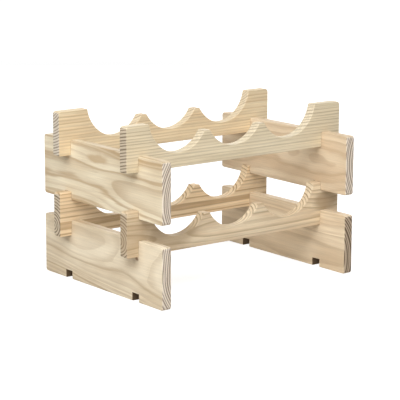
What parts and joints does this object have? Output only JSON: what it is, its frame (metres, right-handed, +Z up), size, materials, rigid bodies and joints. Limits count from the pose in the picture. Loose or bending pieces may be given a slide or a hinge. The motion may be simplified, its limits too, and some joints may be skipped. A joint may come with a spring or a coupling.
{
  "type": "wine rack",
  "caption": "Stacking pine bottle rack whose scalloped rails are cross-lapped into plain side boards; the upper tier sits on the lower tier's end posts.",
  "frame": {"origin": "on the floor, under the middle of the rack", "axes": "+X along the rails to the right, +Y along the side boards to the back, +Z up"},
  "size_m": [0.392, 0.29, 0.249],
  "materials": {
    "rail_pine": "sanded, unfinished, straight-grained pine",
    "board_pine": "sanded, unfinished, flat-sawn pine"
  },
  "bodies": {
    "lower_tier": {"lower_front_rail": "rail_pine", "lower_back_rail": "rail_pine", "lower_left_board": "board_pine", "lower_right_board": "board_pine"},
    "upper_tier": {"upper_front_rail": "rail_pine", "upper_back_rail": "rail_pine", "upper_left_board": "board_pine", "upper_right_board": "board_pine"}
  },
  "joints": [
    {"name": "upper_tier_lift", "type": "slide", "parent": "lower_tier", "child": "upper_tier", "axis": [0, 0, 1], "range_m": [0, 0.1]}
  ]
}
